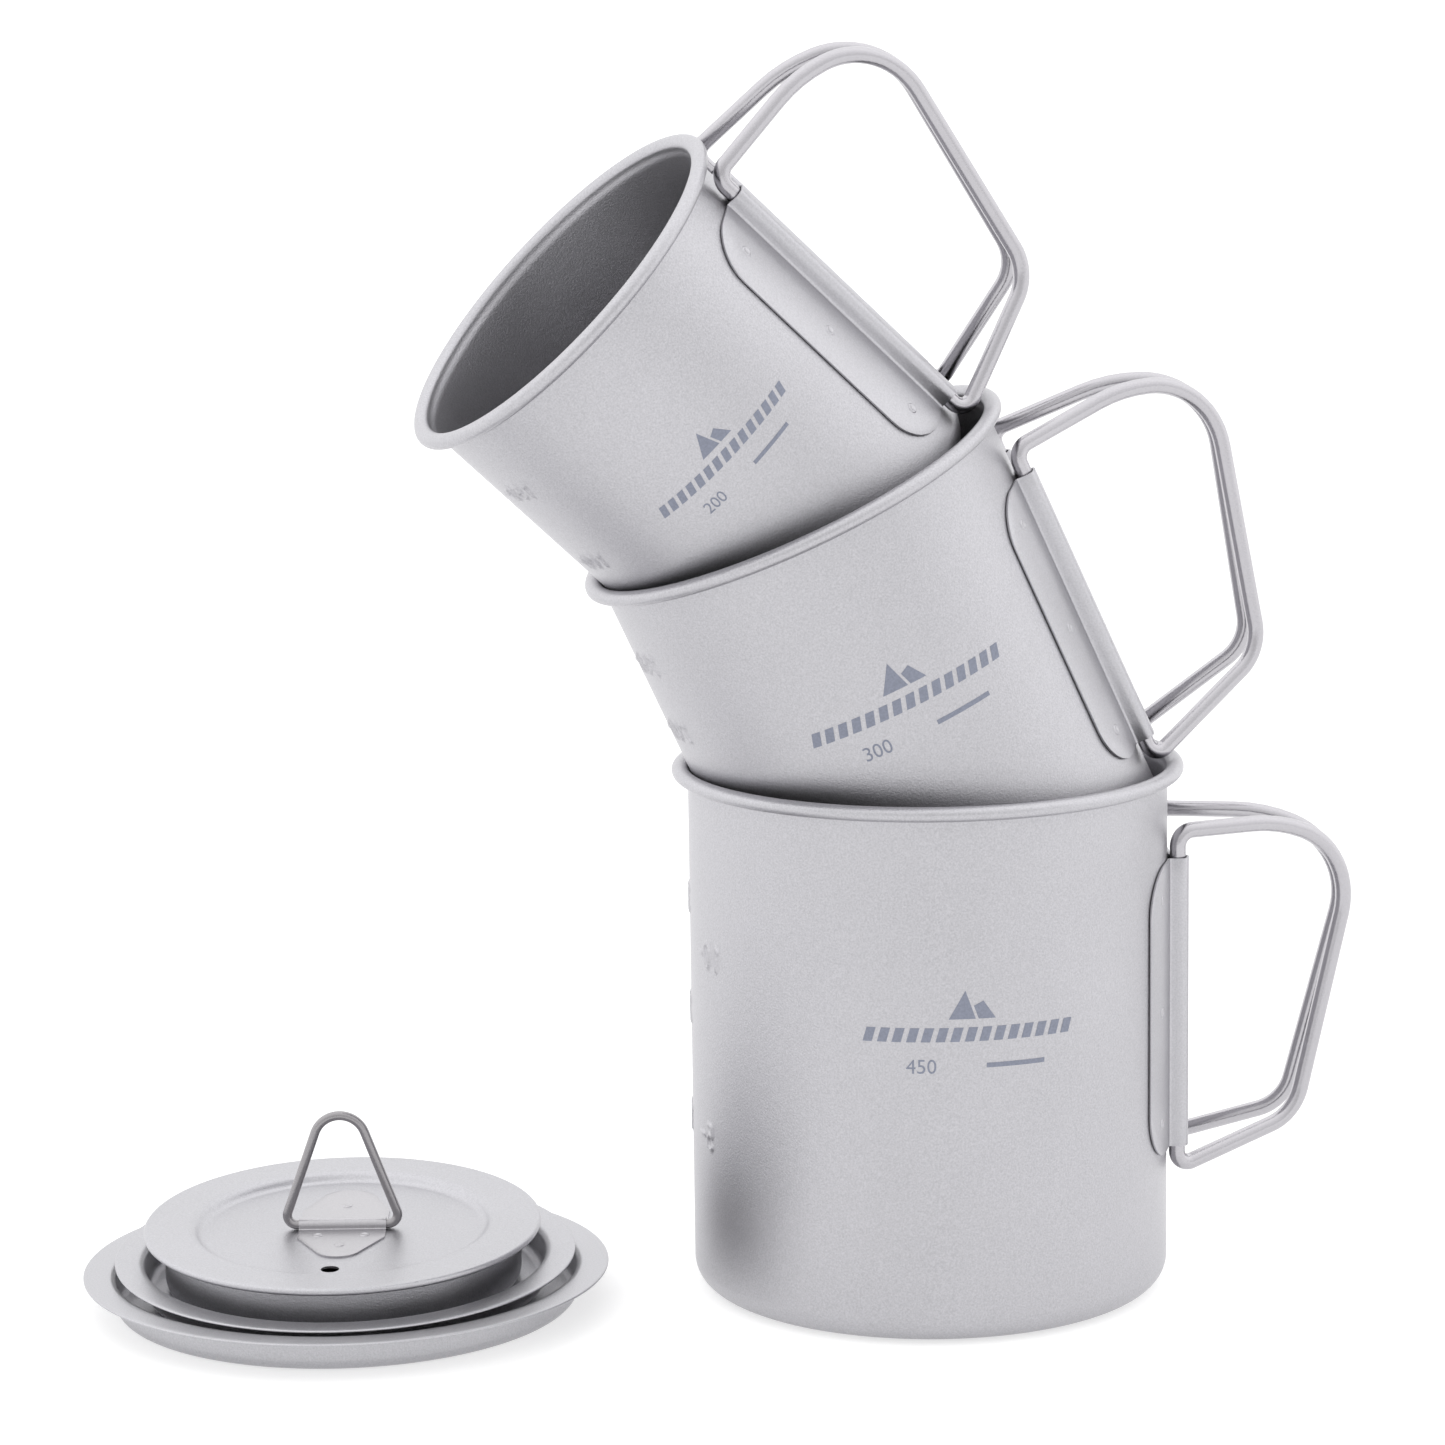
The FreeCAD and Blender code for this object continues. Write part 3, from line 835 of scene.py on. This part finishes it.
def noise(tree, where, scale, rough=0.5):
    """Even noise with this many cells a metre."""
    node = tree.nodes.new("ShaderNodeTexNoise")
    node.inputs["Scale"].default_value = scale
    node.inputs["Detail"].default_value = 2.0
    node.inputs["Roughness"].default_value = rough
    link(tree, where, node.inputs["Vector"])
    return node.outputs["Fac"]


def ranged(tree, value, low, high, first=0.3, last=0.7):
    """The value, clamped between first and last, carried over to low to high."""
    node = tree.nodes.new("ShaderNodeMapRange")
    node.inputs["From Min"].default_value = first
    node.inputs["From Max"].default_value = last
    node.inputs["To Min"].default_value = low
    node.inputs["To Max"].default_value = high
    link(tree, value, node.inputs["Value"])
    return node.outputs["Result"]


def combine(tree, operation, one, two):
    node = tree.nodes.new("ShaderNodeMath")
    node.operation = operation
    link(tree, one, node.inputs[0])
    link(tree, two, node.inputs[1])
    return node.outputs[0]


def tinted(tree, colour, tone):
    """The colour made lighter or darker by the tone."""
    node = tree.nodes.new("ShaderNodeVectorMath")
    node.operation = "SCALE"
    node.inputs[0].default_value = colour
    link(tree, tone, node.inputs["Scale"])
    return node.outputs["Vector"]


def titanium(name):
    """Metal with a blasted grain, a fine speckle and slow changes of tone."""
    colour, roughness, grain, speckle = METALS[name]
    material = bpy.data.materials.new(name + "_metal")
    material.use_nodes = True
    tree = material.node_tree
    shader = tree.nodes["Principled BSDF"]
    shader.inputs["Metallic"].default_value = 1.0
    where = tree.nodes.new("ShaderNodeTexCoord").outputs["Object"]
    fine = noise(tree, where, 1.0 / (GRAIN_SIZE * MM), 0.6)
    slow = noise(tree, where, BLOTCHES)
    dots = ranged(tree, fine, -speckle, speckle)
    tone = combine(tree, "ADD", dots, ranged(tree, slow, 1 - BLOTCH, 1 + BLOTCH))
    link(tree, tinted(tree, colour, tone), shader.inputs["Base Color"])
    gloss = ranged(tree, slow, roughness - ROUGHNESS_SPREAD, roughness + ROUGHNESS_SPREAD)
    link(tree, gloss, shader.inputs["Roughness"])
    bump = tree.nodes.new("ShaderNodeBump")
    bump.inputs["Strength"].default_value = grain
    bump.inputs["Distance"].default_value = GRAIN_DEPTH * MM
    link(tree, fine, bump.inputs["Height"])
    link(tree, bump.outputs["Normal"], shader.inputs["Normal"])
    return material


def ink():
    """Flat printed ink with a slightly uneven tone."""
    material = bpy.data.materials.new("print_ink")
    material.use_nodes = True
    tree = material.node_tree
    shader = tree.nodes["Principled BSDF"]
    shader.inputs["Roughness"].default_value = 0.6
    where = tree.nodes.new("ShaderNodeTexCoord").outputs["Object"]
    tone = ranged(tree, noise(tree, where, INK_SPECKS), 1 - INK_SPREAD, 1 + INK_SPREAD)
    link(tree, tinted(tree, INK, tone), shader.inputs["Base Color"])
    return material


def paint(pieces, material):
    for piece in pieces:
        piece.data.materials.clear()
        piece.data.materials.append(material)


# --- the set -----------------------------------------------------------------
shells = []
brackets = []
wires = []
prints = []
for size, cup in CUPS.items():
    shells.append(cup_shell(size, cup))
    brackets.append(cup_bracket(size, cup))
    wires.append(cup_wire(size, cup, -1, "front"))
    wires.append(cup_wire(size, cup, 1, "rear"))
    prints.append(print_mark(size, cup))

lids = []
straps = []
rings = []
for size, lid in PANS.items():
    lids.append(lid_pan(size, lid))
    on_floor = lid_place(lid["shift"], lid["nod"]) @ Matrix.Translation((0, 0, SHEET * MM))
    straps.append(lid_strap(size, on_floor))
    rings.append(lid_ring(size, on_floor, 90))
lids += [plug_disc(), plug_skirt()]
on_disc = lid_place(PLUG_PLACE, PLUG_NOD) @ Matrix.Translation((0, 0, -RECESS_DEPTH * MM))
straps.append(lid_strap("small", on_disc, LONG_PLATE, LONG_PLATE_WELDS))
rings.append(lid_ring("small", on_disc, 0))

paint(shells, titanium("cup"))
paint(brackets, titanium("bracket"))
paint(wires, titanium("wire"))
paint(lids, titanium("lid"))
paint(straps, titanium("strap"))
paint(rings, titanium("ring"))
paint(prints, ink())


# --- floor, light and camera -------------------------------------------------
def floor():
    """Plain pale floor under the set, lit a little from below like a light table."""
    mesh = bpy.data.meshes.new("floor")
    corners = [(FLOOR_REACH * x, FLOOR_REACH * y, 0) for x, y in ((-1, -1), (1, -1), (1, 1), (-1, 1))]
    mesh.from_pydata(corners, [], [(0, 1, 2, 3)])
    sheet = bpy.data.objects.new("floor", mesh)
    sheet.location.z = -FLOOR_DROP
    bpy.context.scene.collection.objects.link(sheet)
    material = bpy.data.materials.new("floor_paint")
    material.use_nodes = True
    shader = material.node_tree.nodes["Principled BSDF"]
    shader.inputs["Base Color"].default_value = FLOOR_GREY
    shader.inputs["Roughness"].default_value = 0.9
    shader.inputs["Emission Color"].default_value = (1, 1, 1, 1)
    shader.inputs["Emission Strength"].default_value = FLOOR_GLOW
    mesh.materials.append(material)


def surround():
    """White studio all round: soft light, a little brighter above, beside and behind the set."""
    world = bpy.data.worlds.new("studio")
    bpy.context.scene.world = world
    world.use_nodes = True
    tree = world.node_tree
    where = tree.nodes.new("ShaderNodeTexCoord").outputs["Generated"]
    parts = tree.nodes.new("ShaderNodeSeparateXYZ")
    link(tree, where, parts.inputs[0])
    tree.nodes["Background"].inputs["Color"].default_value = (1.0, 1.0, 1.0, 1)
    depth = ranged(tree, parts.outputs["Y"], LIGHT_FROM_FRONT, LIGHT_FROM_BACK, -1.0, 0.1)
    height = ranged(tree, parts.outputs["Z"], 0.0, LIGHT_FROM_ABOVE, 0.2, 0.95)
    sideways = combine(tree, "MULTIPLY", parts.outputs["X"], parts.outputs["X"])
    side = ranged(tree, sideways, 0.0, LIGHT_FROM_SIDES, 0.0, 1.0)
    strength = combine(tree, "ADD", combine(tree, "ADD", depth, height), side)
    link(tree, strength, tree.nodes["Background"].inputs["Strength"])


def camera():
    """Long lens a little above the set, looking slightly down."""
    data = bpy.data.cameras.new("camera")
    data.sensor_width = 36.0
    data.lens = CAMERA_LENS
    data.clip_start = 0.05
    data.clip_end = 50
    body = bpy.data.objects.new("camera", data)
    pitch = Matrix.Rotation(math.radians(90) - CAMERA_DIP, 4, "X")
    roll = Matrix.Rotation(CAMERA_ROLL, 4, "Z")
    body.matrix_world = Matrix.Translation(Vector(CAMERA_PLACE) * MM) @ pitch @ roll
    bpy.context.scene.collection.objects.link(body)
    bpy.context.scene.camera = body


floor()
surround()
camera()
bpy.context.scene.view_settings.view_transform = "Standard"
